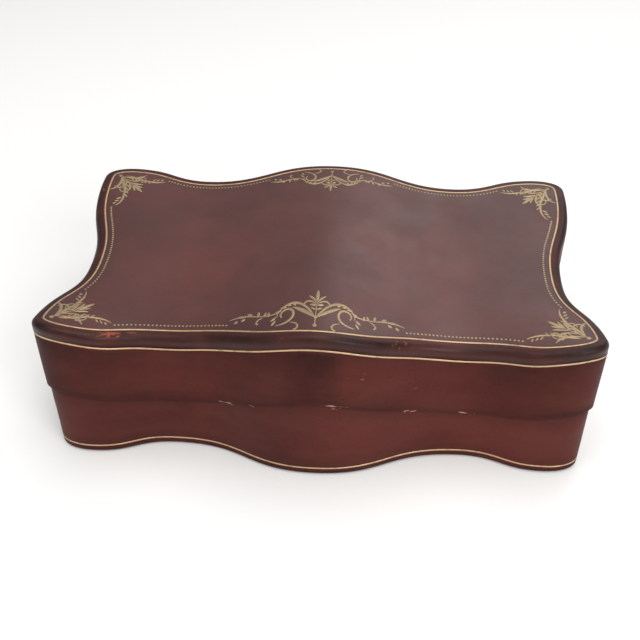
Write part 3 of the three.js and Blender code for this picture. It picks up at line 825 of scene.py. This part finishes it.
class Foil:
    """Gilt shapes laid on the lid's top, gathered into one mesh of closed islands."""

    def __init__(self):
        self.vertices, self.faces = [], []

    def lay(self, plan, crest):
        """plan holds rows across the shape from edge to edge; crest says how high each column stands."""
        rows, columns = plan.shape[:2]
        flat = plan.reshape(-1, 2)
        ground = top_height(*flat.T)
        over = np.column_stack([flat, ground + np.tile(crest, rows) * FOIL])
        under = np.column_stack([flat, ground - 1.6 * FOIL])
        start = sum(len(v) for v in self.vertices)
        self.vertices += [over, under]
        size = rows * columns

        def at(r, c, side):
            return start + side * size + r * columns + c

        for r in range(rows - 1):
            for c in range(columns - 1):
                self.faces.append((at(r, c, 0), at(r + 1, c, 0), at(r + 1, c + 1, 0), at(r, c + 1, 0)))
                self.faces.append((at(r, c, 1), at(r, c + 1, 1), at(r + 1, c + 1, 1), at(r + 1, c, 1)))
            for c in (0, columns - 1):
                side = (at(r, c, 0), at(r, c, 1), at(r + 1, c, 1), at(r + 1, c, 0))
                self.faces.append(side if c == 0 else side[::-1])
        for c in range(columns - 1):
            for r in (0, rows - 1):
                end = (at(r, c, 0), at(r, c + 1, 0), at(r, c + 1, 1), at(r, c, 1))
                self.faces.append(end if r == 0 else end[::-1])

    def curl(self, shape, mapping, weight):
        px, py, angle, width = stroke(*shape)
        across = np.array([-0.5, -0.18, 0.18, 0.5])
        half = np.maximum(width * weight, 0.25)[:, None] * across
        x = px[:, None] - np.sin(angle)[:, None] * half
        y = py[:, None] + np.cos(angle)[:, None] * half
        plan = mapping(x.ravel() * MM, y.ravel() * MM).reshape(*x.shape, 2)
        self.lay(plan, np.array([0.25, 1.0, 1.0, 0.25]))

    def dot(self, x, y, radius, mapping=None):
        """A small domed disc, laid as three nested rings closed underneath."""
        turn = np.linspace(0, 2 * math.pi, 12, endpoint=False)
        start = sum(len(v) for v in self.vertices)
        for share, lift in ((1.0, -1.6), (1.0, 0.25), (0.6, 1.0)):
            u = x + radius * share * np.cos(turn)
            v = y + radius * share * np.sin(turn)
            plan = mapping(u, v) if mapping else np.column_stack([u, v])
            self.vertices.append(np.column_stack([plan, top_height(*plan.T) + lift * FOIL]))
        for k in range(12):
            j = (k + 1) % 12
            self.faces.append((start + k, start + j, start + 12 + j, start + 12 + k))
            self.faces.append((start + 12 + k, start + 12 + j, start + 24 + j, start + 24 + k))
        self.faces.append(tuple(start + 11 - k for k in range(12)))
        self.faces.append(tuple(start + 24 + k for k in range(12)))

    def piece(self, name):
        made = add_mesh(name, np.concatenate(self.vertices), self.faces, ORNAMENT_GILT)
        mend(made.data)
        return made


def along_edge(middle, way=1.0, size=1.0):
    """Maps ornament coordinates to the plan: x runs along the edge from a station, y runs inwards."""
    return lambda x, y: inset_plan(middle + way * size * x, BEAD_INSET - 0.6 * MM + size * y)


def in_corner(station):
    """Maps a corner's middle ornament: y points from the lobe towards the middle of the lid."""
    point, outward = along([station])
    origin = point[0] - outward[0] * (BEAD_INSET - 0.6 * MM)
    inward = -outward[0]
    side = np.array([-inward[1], inward[0]])
    return lambda x, y: origin + np.outer(x, side) + np.outer(y, inward)


def lobe_station(x_sign, y_sign):
    """The place on the outline that faces out most squarely on a lobe."""
    point, outward = along(STATIONS)
    wanted = np.array([x_sign * 0.75, y_sign * 0.66])
    facing = outward @ wanted + 40.0 * ((point @ wanted) > 0.1)
    return float(STATIONS[int(np.argmax(facing))])


def ornaments():
    foil = Foil()
    back = PERIMETER / 2
    for middle, size in ((0.0, FRONT_ORNAMENT_SIZE), (back, BACK_ORNAMENT_SIZE)):
        mapping = along_edge(middle, 1.0, size)
        for shape in EDGE_HALF + flipped(EDGE_HALF) + EDGE_MIDDLE:
            foil.curl(shape, mapping, EDGE_WEIGHT)
        foil.dot(0, 1.8 * MM, 1.5 * MM, mapping)
    corners = [lobe_station(*signs) for signs in ((1, -1), (1, 1), (-1, 1), (-1, -1))]
    for station in corners:
        for shape in CORNER_HALF + flipped(CORNER_HALF) + CORNER_MIDDLE:
            foil.curl(shape, in_corner(station), CORNER_WEIGHT)
        foil.dot(0, 1.0 * MM, 1.3 * MM, in_corner(station))
        for way in (1.0, -1.0):
            for shape in CORNER_ARM:
                foil.curl(shape, along_edge(station + way * CORNER_ARM_START, way), CORNER_WEIGHT)
    return foil.piece("gilt_ornaments"), corners


def beads(corners):
    """Beads between the ornaments, on all four sides."""
    foil = Foil()
    ends = [(0.0, EDGE_ORNAMENT_REACH * FRONT_ORNAMENT_SIZE)]
    ends += [(PERIMETER / 2, EDGE_ORNAMENT_REACH * BACK_ORNAMENT_SIZE)]
    ends += [(station, CORNER_REACH) for station in corners]
    ends.sort()
    for (a, reach_a), (b, reach_b) in zip(ends, ends[1:] + [(ends[0][0] + PERIMETER, ends[0][1])]):
        start, stop = a + reach_a, b - reach_b
        count = int((stop - start) / BEAD_PITCH)
        for k in range(count + 1):
            station = start + (stop - start) * k / count
            x, y = inset_plan([station], [BEAD_INSET])[0]
            size = BEAD_RADIUS * (1 + 0.14 * noise.noise(Vector((k * 0.7, a * 10, 0.5))))
            foil.dot(x, y, size)
    return foil.piece("gilt_beads")


# ---------------------------------------------------------------- lining and dividers
LINING = 1.4 * MM
BASE_LINING_INSET = HALF_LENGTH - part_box("base_wall_lining")[1].x
LID_LINING_INSET = HALF_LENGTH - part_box("lid_wall_lining")[1].x
ROOM_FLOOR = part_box("base_wall_lining")[0].z
LID_ROOF = LID_TOP - (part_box("lid_top_leather")[1].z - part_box("lid_pad")[1].z)
TURN = 0.6 * MM


def base_lining():
    outer, inner = BASE_LINING_INSET, BASE_LINING_INSET + LINING
    rows = [{"inset": outer, "z": ROOM_FLOOR, "waved": 0.0}, {"inset": outer, "z": BASE_RIM - TURN}]
    rows += corner_arc(outer + TURN, BASE_RIM - TURN, TURN, 30, 90, 3)
    rows += corner_arc(inner - TURN, BASE_RIM - TURN, -TURN, -60, 0, 3)
    height = BASE_RIM - TURN - ROOM_FLOOR
    for share in np.linspace(0.92, 0, 9):
        rows.append({"inset": inner, "z": ROOM_FLOOR + share * height, "waved": share})
    return face_out(skin("base_velvet_lining", rows, True, VELVET))


def velvet_floor():
    """Thin velvet glued over the base board, seen between the pads and rolls."""
    edge = BASE_LINING_INSET + LINING / 2
    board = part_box("base_board")[1].z
    rows = [{"inset": edge, "z": board, "shrink": k, "waved": 0.0} for k in np.linspace(0, 1, 8)]
    rows += [{"inset": edge, "z": ROOM_FLOOR, "shrink": k, "waved": 0.0} for k in np.linspace(1, 0, 24)]
    return face_out(skin("base_velvet_floor", rows, False, VELVET))


def lid_lining():
    outer, inner = LID_LINING_INSET, LID_LINING_INSET + LINING
    rows = [{"inset": outer, "z": LID_ROOF}, {"inset": outer, "z": LID_RIM + TURN}]
    rows += corner_arc(outer + TURN, LID_RIM + TURN, TURN, -30, -90, 3)
    rows += corner_arc(inner - TURN, LID_RIM + TURN, -TURN, 60, 0, 3)
    rows += [{"inset": inner, "z": LID_RIM + share * (LID_ROOF - LID_RIM)} for share in (0.15, 0.4, 0.7, 1.0)]
    return face_out(skin("lid_velvet_lining", rows, True, VELVET))


def divider_section(half, foot, top):
    """Half widths and heights up one side of a divider, over its rounded top and down the other."""
    radius = 0.8 * half
    rises = [foot + (top - radius - foot) * k / 6 for k in range(6)]
    section = [(-half, z) for z in rises]
    for degrees in range(180, -1, -18):
        angle = math.radians(degrees)
        side = math.copysign(half - radius, math.cos(angle)) if degrees != 90 else 0.0
        section.append((side + radius * math.cos(angle), top - radius + radius * math.sin(angle)))
    return section + [(half, z) for z in reversed(rises)]


def divider(name, node, axis, trim):
    """A board wrapped in velvet: a soft-edged strip along one axis, its ends trimmed to the lining."""
    low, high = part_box(node)
    across = 1 - axis
    half = (high[across] - low[across]) / 2
    middle = (high[across] + low[across]) / 2
    profile = divider_section(half, low.z, high.z)
    start, stop = low[axis] + trim, high[axis] - trim
    count = max(8, int((stop - start) / (3 * MM)))
    vertices, faces = [], []
    for k in range(count + 1):
        place_along = start + (stop - start) * k / count
        for a, z in profile:
            point = [0.0, 0.0, z]
            point[axis] = place_along
            swell = 1 + 0.06 * noise.noise(Vector((place_along, a, z)) / 0.03)
            point[across] = middle + a * swell
            vertices.append(point)
    size = len(profile)
    for k in range(count):
        for i in range(size):
            j = (i + 1) % size
            faces.append((k * size + i, k * size + j, (k + 1) * size + j, (k + 1) * size + i))
    faces.append(tuple(range(size - 1, -1, -1)))
    faces.append(tuple(count * size + i for i in range(size)))
    return face_out(add_mesh(name, vertices, faces, VELVET))


# ---------------------------------------------------------------- stuffed pads, by cloth simulation
def soft_blank(node, name, shrink, voxel):
    """A little smaller copy of a CAD soft solid, remeshed finely."""
    piece = add_mesh(name, [v.co[:] for v in nodes[node].data.vertices],
                     [p.vertices[:] for p in nodes[node].data.polygons])
    mend(piece.data, merge=0.01 * MM)
    points = vertex_array(piece)
    low, high = points.min(0), points.max(0)
    middle = (low + high) / 2
    points = middle + (points - middle) * (1 - 2 * shrink / (high - low))
    move_points(piece, points)
    remesh = piece.modifiers.new("remesh", "REMESH")
    remesh.mode = "VOXEL"
    remesh.voxel_size = voxel
    remesh.use_smooth_shade = True
    depsgraph = bpy.context.evaluated_depsgraph_get()
    fine = bpy.data.meshes.new_from_object(piece.evaluated_get(depsgraph))
    piece.modifiers.clear()
    piece.data = fine
    return piece


PRESSURE = 4.0
CLOTH_STEPS = 20
GLUED_DEPTH = 0.6 * MM


def stuff(piece, glued, spread, rise):
    """Swells a blank under pressure. glued says which points are held; moves are capped."""
    start = vertex_array(piece)
    held = glued(start)
    group = piece.vertex_groups.new(name="glued")
    group.add([int(i) for i in np.nonzero(held)[0]], 1.0, "REPLACE")
    cloth = piece.modifiers.new("cloth", "CLOTH")
    cloth.settings.quality = 4
    cloth.settings.mass = 0.3
    cloth.settings.use_pressure = True
    cloth.settings.uniform_pressure_force = PRESSURE
    cloth.settings.effector_weights.gravity = 0
    cloth.settings.vertex_group_mass = "glued"
    cloth.point_cache.frame_start = 1
    cloth.point_cache.frame_end = CLOTH_STEPS
    scene = bpy.context.scene
    for step in range(1, CLOTH_STEPS + 1):
        scene.frame_set(step)
    depsgraph = bpy.context.evaluated_depsgraph_get()
    evaluated = piece.evaluated_get(depsgraph)
    moved = vertex_array(evaluated) - start
    scene.frame_set(1)
    piece.modifiers.clear()
    piece.vertex_groups.clear()
    caps = np.array([spread, spread, rise])
    moved = caps * np.tanh(moved / caps)
    moved[held] = 0
    move_points(piece, start + moved)
    piece.data.update()


def finish_soft(piece, material):
    piece.data.materials.clear()
    piece.data.materials.append(material)
    piece.data.polygons.foreach_set("use_smooth", [True] * len(piece.data.polygons))
    smooth = piece.modifiers.new("fine", "SUBSURF")
    smooth.levels = smooth.render_levels = 1
    return piece


def floor_pad(node):
    piece = soft_blank(node, node.replace("_floor_pad", "_velvet_pad"), 0.7 * MM, 2.4 * MM)
    base = vertex_array(piece)[:, 2].min()
    stuff(piece, lambda p: p[:, 2] < base + GLUED_DEPTH, 0.55 * MM, 1.8 * MM)
    points = vertex_array(piece)
    upper = np.clip((points[:, 2] - base) / (3 * MM), 0, 1)
    points[:, 2] += upper * roughen(points * [1, 1, 0], 0.03, 0.25 * MM, 11)
    move_points(piece, points)
    return finish_soft(piece, VELVET)


def ring_roll(node):
    piece = soft_blank(node, node.replace("ring_roll", "velvet_ring_roll"), 0.45 * MM, 2.0 * MM)
    base = vertex_array(piece)[:, 2].min()
    stuff(piece, lambda p: p[:, 2] < base + GLUED_DEPTH, 0.4 * MM, 0.5 * MM)
    return finish_soft(piece, VELVET)


QUILT = 34 * MM
TUFT_DEPTH = 2.6 * MM
TUFT_WIDTH = 3 * MM
CHANNEL_DEPTH = 1.3 * MM
CHANNEL_WIDTH = 2.2 * MM


def lid_cushion():
    """Quilted satin, its crown towards the base, its back glued to the lid board."""
    piece = soft_blank("lid_pad", "lid_satin_pad", 0.8 * MM, 2.8 * MM)
    start = vertex_array(piece)
    level = start[:, 2] - wave(start[:, 0], start[:, 1])
    back = level.max()
    stuff(piece, lambda p: p[:, 2] - wave(p[:, 0], p[:, 1]) > back - 0.9 * MM, 0.5 * MM, 1.2 * MM)
    points = vertex_array(piece)
    x, y = points[:, 0], points[:, 1]
    front = np.clip((back - (points[:, 2] - wave(x, y))) / (5 * MM), 0, 1) ** 2
    a, b = (x + y) / QUILT, (x - y) / QUILT
    near_a = np.abs(a - np.round(a)) * QUILT / math.sqrt(2)
    near_b = np.abs(b - np.round(b)) * QUILT / math.sqrt(2)
    channel = CHANNEL_DEPTH * sum(np.exp(-((near / CHANNEL_WIDTH) ** 2)) for near in (near_a, near_b))
    tuft = (TUFT_DEPTH - 2 * CHANNEL_DEPTH) * np.exp(-(np.hypot(near_a, near_b) / TUFT_WIDTH) ** 2)
    points[:, 2] += front * (channel + tuft)
    move_points(piece, points)
    return finish_soft(piece, SATIN)


# ---------------------------------------------------------------- hinge
SCREW = {
    "head": 1.9 * MM,
    "dome": 0.9 * MM,
    "shank": 0.8 * MM,
    "length": 5.6 * MM,
    "edge": 0.12 * MM,
    "slot": 0.5 * MM,
    "cut": 0.65 * MM,
}
SCREW_SIDES = 36


def slotted_screw(name, node, turn):
    """A domed brass screw, its slot cut at its own angle."""
    low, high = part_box(node)
    x = (low.x + high.x) / 2
    station = PERIMETER / 2 - x
    outward = along([station])[1][0]
    head, dome, shank, length, edge = (SCREW[key] for key in ("head", "dome", "shank", "length", "edge"))
    profile = [(0, -length), (shank * 0.4, -length + 0.6 * MM), (shank, -length + 1.6 * MM), (shank, 0)]
    profile += [(head * 0.96, 0), (head, edge)]
    profile += [(head * math.cos(a), edge + (dome - edge) * math.sin(a)) for a in np.linspace(0.15, 1.45, 8)]
    profile.append((0, dome))
    vertices, faces, rows = [], [], []
    for radius, z in profile:
        count = 1 if radius == 0 else SCREW_SIDES
        rows.append([len(vertices) + k for k in range(count)])
        for k in range(count):
            angle = 2 * math.pi * k / SCREW_SIDES
            vertices.append((radius * math.cos(angle), radius * math.sin(angle), z))
    for a, b in zip(rows, rows[1:]):
        for k in range(SCREW_SIDES):
            j = (k + 1) % SCREW_SIDES
            ring_a = (a[0],) if len(a) == 1 else (a[k], a[j])
            ring_b = (b[0],) if len(b) == 1 else (b[j], b[k])
            faces.append(ring_a + ring_b)
    piece = face_out(add_mesh(name, vertices, faces, BRASS))
    cutter = bpy.data.meshes.new("slot")
    block = bmesh.new()
    bmesh.ops.create_cube(block, size=1.0)
    bmesh.ops.scale(block, verts=block.verts, vec=(3 * head, SCREW["slot"], 2 * SCREW["cut"]))
    bmesh.ops.translate(block, verts=block.verts, vec=(0, 0, dome))
    block.to_mesh(cutter)
    block.free()
    tool = bpy.data.objects.new("slot", cutter)
    bpy.context.scene.collection.objects.link(tool)
    boolean = piece.modifiers.new("slot", "BOOLEAN")
    boolean.object = tool
    boolean.operation = "DIFFERENCE"
    boolean.solver = "EXACT"
    slotted = bpy.data.meshes.new_from_object(piece.evaluated_get(bpy.context.evaluated_depsgraph_get()))
    piece.modifiers.clear()
    piece.data = slotted
    bpy.data.objects.remove(tool)
    facing = Vector((outward[0], outward[1], 0)).to_track_quat("Z", "Y").to_matrix().to_4x4()
    at = Matrix.Translation(((low.x + high.x) / 2, high.y - dome, (low.z + high.z) / 2))
    slotted.transform(at @ facing @ Matrix.Rotation(turn, 4, "Z"))
    slotted.set_sharp_from_angle(angle=math.radians(40))
    return piece


def dress(node, material):
    """Gives a CAD node a new material; its mesh stays as it is."""
    piece = nodes[node]
    for slot in piece.material_slots:
        slot.material = material
    return piece


def soften_edges(piece, width):
    bevel = piece.modifiers.new("soft_edges", "BEVEL")
    bevel.width = width
    bevel.segments = 3
    bevel.limit_method = "ANGLE"
    bevel.angle_limit = math.radians(40)


# ---------------------------------------------------------------- assembly
place(lid_top(), "lid", "oxblood_leather", "lid_top_leather")
place(lid_side(), "lid", "oxblood_leather", "lid_side_leather")
place(base_side(), "base", "oxblood_leather", "base_side_leather")
place(base_underside(), "base", "underside_leather", "base_underside_leather")

gilt_ornaments, lobe_stations = ornaments()
place(gilt_ornaments, "lid", "oxblood_leather")
place(beads(lobe_stations), "lid", "oxblood_leather")
place(top_line(), "lid", "oxblood_leather")
lid_line = wall_line("gilt_lid_line", 0.0, LID_TOP - LID_LINE_DROP, True, 5, LID_SIDE_SEED)
place(lid_line, "lid", "oxblood_leather")
base_line = wall_line("gilt_base_line", BASE_STEP, BASE_LINE_RISE, False, 7, BASE_SIDE_SEED)
place(base_line, "base", "oxblood_leather")

place(base_lining(), "base", "velvet", "base_wall_lining")
place(velvet_floor(), "base", "velvet")
place(lid_lining(), "lid", "velvet", "lid_wall_lining")
place(divider("long_velvet_divider", "long_divider", 0, 0.4 * MM), "base", "velvet", "long_divider")
for side in ("left", "right"):
    node = f"{side}_divider"
    place(divider(f"{side}_velvet_divider", node, 1, 1.3 * MM), "base", "velvet", node)
for part in ("left", "middle", "right"):
    place(floor_pad(f"{part}_floor_pad"), "base", "velvet", f"{part}_floor_pad")
for number in (1, 2, 3):
    place(ring_roll(f"ring_roll_{number}"), "base", "velvet", f"ring_roll_{number}")
place(lid_cushion(), "lid", "satin", "lid_pad")

for body in ("base", "lid"):
    for number in (1, 2, 3):
        node = f"{body}_hinge_screw_{number}"
        turn = 0.9 * number + (1.3 if body == "lid" else 0.4)
        place(slotted_screw(f"{body}_slotted_screw_{number}", node, turn), body, "brass", node)
for node in ("hinge_base_leaf", "hinge_lid_leaf", "hinge_pin"):
    soften_edges(dress(node, BRASS), 0.18 * MM)
for node in ("base_board", "base_wall", "lid_board", "lid_wall"):
    dress(node, WOOD)


# ---------------------------------------------------------------- stage, light and camera
def flat_material(name, colour, roughness):
    s = Shader(name)
    s.set(Base_Color=(*colour, 1.0), Roughness=roughness)
    return s.material


FLOOR_REACH = 6.0
FLOOR_DROP = 0.2 * MM


def floor():
    """A pale floor, just under the case so that the two don't share a face."""
    signs = ((-1, -1), (1, -1), (1, 1), (-1, 1))
    corners = [(x * FLOOR_REACH, y * FLOOR_REACH, -FLOOR_DROP) for x, y in signs]
    pale = flat_material("studio_floor", (0.87, 0.87, 0.86), 0.6)
    add_mesh("studio_floor", corners, [(0, 1, 2, 3)], pale, smooth=False)


def area_light(name, place_at, aim, size, power):
    data = bpy.data.lights.new(name, "AREA")
    data.shape = "RECTANGLE"
    data.size, data.size_y = size
    data.energy = power
    lamp = bpy.data.objects.new(name, data)
    lamp.location = place_at
    lamp.rotation_euler = (Vector(aim) - Vector(place_at)).to_track_quat("-Z", "Y").to_euler()
    bpy.context.scene.collection.objects.link(lamp)


def lights():
    world = bpy.data.worlds.new("studio")
    world.use_nodes = True
    world.node_tree.nodes["Background"].inputs["Color"].default_value = (1.0, 0.985, 0.97, 1.0)
    world.node_tree.nodes["Background"].inputs["Strength"].default_value = 0.42
    bpy.context.scene.world = world
    area_light("overhead", (0.1, -0.1, 1.9), (0.0, 0, 0), (1.8, 1.8), 26)
    area_light("wide_back", (0.9, 2.1, 1.6), (0.0, 0, 0.06), (1.8, 1.4), 11)
    area_light("key_front_right", (0.9, -1.2, 0.9), (0, 0, 0.05), (0.9, 0.9), 15)
    area_light("fill_front_left", (-1.2, -1.0, 1.0), (0, 0, 0.05), (1.0, 1.0), 4)


CAMERA_PLACE = (24.4 * MM, -426.3 * MM, 369.0 * MM)
CAMERA_YAW = 3.64
CAMERA_PITCH = 38.05
CAMERA_LENS = 48.9


def camera():
    yaw, pitch = math.radians(CAMERA_YAW), math.radians(CAMERA_PITCH)
    forward = Vector((-math.sin(yaw) * math.cos(pitch), math.cos(yaw) * math.cos(pitch), -math.sin(pitch)))
    data = bpy.data.cameras.new("camera")
    data.lens = CAMERA_LENS
    data.sensor_width = 36
    data.clip_start = 0.01
    view = bpy.data.objects.new("camera", data)
    view.location = CAMERA_PLACE
    view.rotation_euler = forward.to_track_quat("-Z", "Y").to_euler()
    bpy.context.scene.collection.objects.link(view)
    bpy.context.scene.camera = view


floor()
lights()
camera()
bpy.context.scene.view_settings.view_transform = "Standard"
